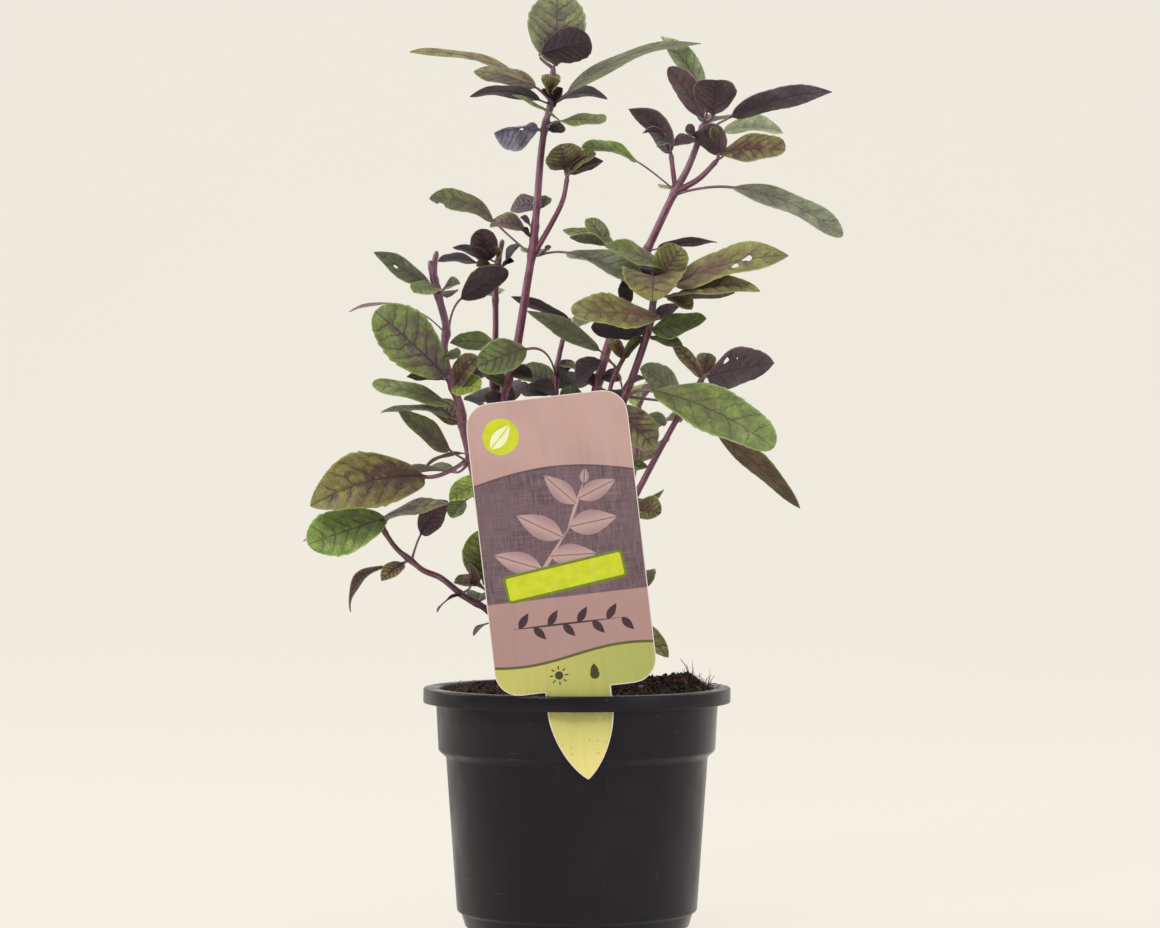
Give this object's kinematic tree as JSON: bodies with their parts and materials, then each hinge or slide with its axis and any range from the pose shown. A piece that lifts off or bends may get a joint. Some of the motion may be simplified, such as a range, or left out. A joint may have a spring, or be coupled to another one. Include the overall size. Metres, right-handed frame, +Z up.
{
  "type": "potted basil",
  "caption": "Potted basil plant with purple-flushed leaves on reddish stems, in a round black nursery pot with a plain plant label hooked through its rim.",
  "frame": {"origin": "centre of the pot's flat base, where it stands", "axes": "+Z up along the pot's axis, -Y towards the label at the front, +X to the right seen from the front"},
  "size_m": [0.2276, 0.1633, 0.394],
  "materials": {
    "pot_plastic": "satin black moulded plastic, scuffed",
    "peat": "damp dark peat and bark fibre",
    "label_card": "printed plastic card, semi-gloss",
    "leaf": "soft matte leaf, green above and purple below, with purple veins",
    "stem": "smooth reddish purple herb stem, finely ribbed"
  },
  "bodies": {
    "root": {"nursery_pot": "pot_plastic", "potting_soil": "peat", "plant_label": "label_card", "leafy_stem_tall_left": "leaf", "leafy_stem_tall_right": "leaf", "leafy_stem_left": "leaf", "leafy_stem_slender": "leaf", "leafy_stem_inner": "leaf", "leafy_stem_middle_right": "leaf", "leafy_stem_low_right": "leaf", "leafy_branch_low_left": "leaf", "leafy_stem_back_left": "leaf", "leafy_stem_back_right": "leaf"}
  },
  "joints": []
}
